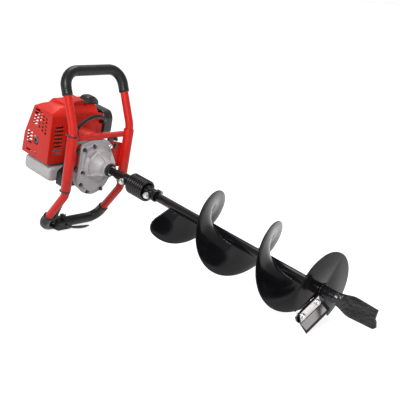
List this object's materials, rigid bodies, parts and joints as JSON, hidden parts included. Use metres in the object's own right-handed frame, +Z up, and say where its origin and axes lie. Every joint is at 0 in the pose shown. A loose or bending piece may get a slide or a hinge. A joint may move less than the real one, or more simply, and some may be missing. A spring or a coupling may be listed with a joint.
{
  "type": "earth and ice auger",
  "caption": "Petrol earth and ice auger: two-stroke engine and gearbox in a red loop handle, shock spring, and a screw bit with a disc, knife and forked point.",
  "frame": {"origin": "on the floor, under the middle of the whole object as it lies on its lower grip and knife", "axes": "+X along the floor from the engine towards the point of the bit, +Y towards the air filter side, +Z up; the bit itself points 9.2 degrees down"},
  "size_m": [1.2638, 0.247, 0.524],
  "materials": {
    "red_paint": "gloss enamel on steel tube",
    "red_plastic": "satin moulded plastic",
    "black_paint": "semi-gloss powder coat",
    "black_plastic": "moulded, light texture",
    "grip_foam": "closed-cell foam, smooth skin",
    "cast_aluminium": "die cast, shot blasted",
    "bright_steel": "zinc plated or ground",
    "dark_steel": "oiled, heat treated",
    "tank_plastic": "translucent white polyethylene",
    "rubber": "matt"
  },
  "bodies": {
    "machine": {"upper_handle": "red_paint", "lower_handle": "red_paint", "upper_grip": "grip_foam", "lower_grip": "grip_foam", "left_sleeve": "red_paint", "right_sleeve": "red_paint", "crossbar": "red_paint", "left_bracket": "red_paint", "right_bracket": "red_paint", "gearbox_front_case": "cast_aluminium", "gearbox_rear_case": "cast_aluminium", "front_bearing": "bright_steel", "output_seal": "rubber", "fan_housing": "cast_aluminium", "crankcase": "cast_aluminium", "cylinder": "cast_aluminium", "spark_plug": "bright_steel", "muffler": "dark_steel", "carburettor": "cast_aluminium", "air_filter_element": "grip_foam", "fuel_tank": "tank_plastic", "fuel_line": "rubber", "engine_stand": "black_plastic", "engine_shroud": "red_plastic", "plug_cover": "black_plastic", "muffler_cover": "red_plastic", "starter_cover": "black_plastic", "air_filter_cover": "black_plastic", "throttle_housing": "black_plastic", "throttle_cable": "rubber"},
    "drive": {"output_gear": "dark_steel", "output_shaft": "black_paint", "upper_coupling": "black_paint", "upper_coupling_bolt": "bright_steel"},
    "auger": {"shock_spring": "black_paint", "lower_coupling": "black_paint", "lower_coupling_bolt": "bright_steel", "bit_tube": "black_paint", "flight": "black_paint", "cutter_disc": "black_paint", "knife_holder": "black_paint", "knife": "bright_steel", "fishtail_point": "black_paint"},
    "counter": {"counter_gears": "dark_steel"},
    "input": {"clutch_drum": "bright_steel"},
    "crank": {"crankshaft_front": "dark_steel", "crankshaft_rear": "dark_steel", "flywheel": "cast_aluminium"},
    "shoe_1": {"clutch_shoe_1": "dark_steel"},
    "shoe_2": {"clutch_shoe_2": "dark_steel"},
    "piston": {"piston": "cast_aluminium", "connecting_rod": "dark_steel"},
    "pull": {"starter_handle": "black_plastic"},
    "reel": {"starter_reel": "black_plastic"},
    "choke": {"choke_lever": "black_plastic"},
    "primer": {"primer_bulb": "rubber"},
    "cap": {"fuel_cap": "black_plastic"},
    "trigger": {"throttle_trigger": "black_plastic"},
    "lock": {"trigger_lock": "black_plastic"},
    "stop": {"stop_switch": "red_plastic"}
  },
  "joints": [
    {"name": "output_spin", "type": "hinge", "parent": "machine", "child": "drive", "pos_m": [-0.38536, 0, 0.2319], "axis": [0.9873, 0, -0.159], "continuous": true},
    {"name": "shock_compress", "type": "slide", "parent": "drive", "child": "auger", "axis": [0.9873, 0, -0.159], "range_m": [-0.01, 0], "stiffness_N_per_m": 20000, "deforming": ["shock_spring"]},
    {"name": "counter_spin", "type": "hinge", "parent": "machine", "child": "counter", "pos_m": [-0.3997, -0.03128, 0.26865], "axis": [0.9873, 0, -0.159], "continuous": true},
    {"name": "input_spin", "type": "hinge", "parent": "machine", "child": "input", "pos_m": [-0.43422, 0, 0.26813], "axis": [0.9873, 0, -0.159], "continuous": true},
    {"name": "crank_spin", "type": "hinge", "parent": "machine", "child": "crank", "pos_m": [-0.529, 0, 0.2834], "axis": [0.9873, 0, -0.159], "continuous": true},
    {"name": "clutch_shoe_1_swing", "type": "hinge", "parent": "crank", "child": "shoe_1", "pos_m": [-0.43374, 0.0197, 0.28365], "axis": [-0.9873, 0, 0.159], "range_deg": [0, 1.3], "stiffness_Nm_per_rad": 4, "springref_deg": -2.86},
    {"name": "clutch_shoe_2_swing", "type": "hinge", "parent": "crank", "child": "shoe_2", "pos_m": [-0.43864, -0.0197, 0.25326], "axis": [-0.9873, 0, 0.159], "range_deg": [0, 1.3], "stiffness_Nm_per_rad": 4, "springref_deg": -2.86},
    {"name": "piston_stroke", "type": "slide", "parent": "machine", "child": "piston", "axis": [0.159, 0, 0.9873], "range_m": [-0.034, 0]},
    {"name": "starter_pull", "type": "slide", "parent": "machine", "child": "pull", "axis": [0, 1, 0], "range_m": [0, 0.6], "stiffness_N_per_m": 12, "springref_m": -0.3},
    {"name": "reel_spin", "type": "hinge", "parent": "machine", "child": "reel", "pos_m": [-0.58823, 0, 0.29294], "axis": [0.9873, 0, -0.159], "range_deg": [0, 1230]},
    {"name": "choke_turn", "type": "hinge", "parent": "machine", "child": "choke", "pos_m": [-0.4942, 0.074, 0.35478], "axis": [0.9873, 0, -0.159], "range_deg": [0, 70]},
    {"name": "primer_press", "type": "slide", "parent": "machine", "child": "primer", "axis": [0.159, 0, 0.9873], "range_m": [0, 0.0035], "stiffness_N_per_m": 400},
    {"name": "fuel_cap_turn", "type": "hinge", "parent": "machine", "child": "cap", "pos_m": [-0.55382, 0.101, 0.19219], "axis": [0, 1, 0], "range_deg": [0, 450]},
    {"name": "throttle_squeeze", "type": "hinge", "parent": "machine", "child": "trigger", "pos_m": [-0.48528, -0.034, 0.01402], "axis": [0.159, 0, 0.9873], "range_deg": [0, 15], "stiffness_Nm_per_rad": 1.5, "springref_deg": -5.73},
    {"name": "lock_press", "type": "hinge", "parent": "machine", "child": "lock", "pos_m": [-0.49048, -0.048, 0.03208], "axis": [0, 1, 0], "range_deg": [0, 20], "stiffness_Nm_per_rad": 0.3, "springref_deg": -5.73},
    {"name": "stop_slide", "type": "slide", "parent": "machine", "child": "stop", "axis": [0.9873, 0, -0.159], "range_m": [-0.003, 0.003]}
  ],
  "couplings": [
    {"joint": "counter_spin", "follows": "output_spin", "ratio": -5},
    {"joint": "input_spin", "follows": "output_spin", "ratio": 30},
    {"joint": "clutch_shoe_2_swing", "follows": "clutch_shoe_1_swing", "ratio": 1},
    {"joint": "reel_spin", "follows": "starter_pull", "rad_per_m": 35.714}
  ]
}
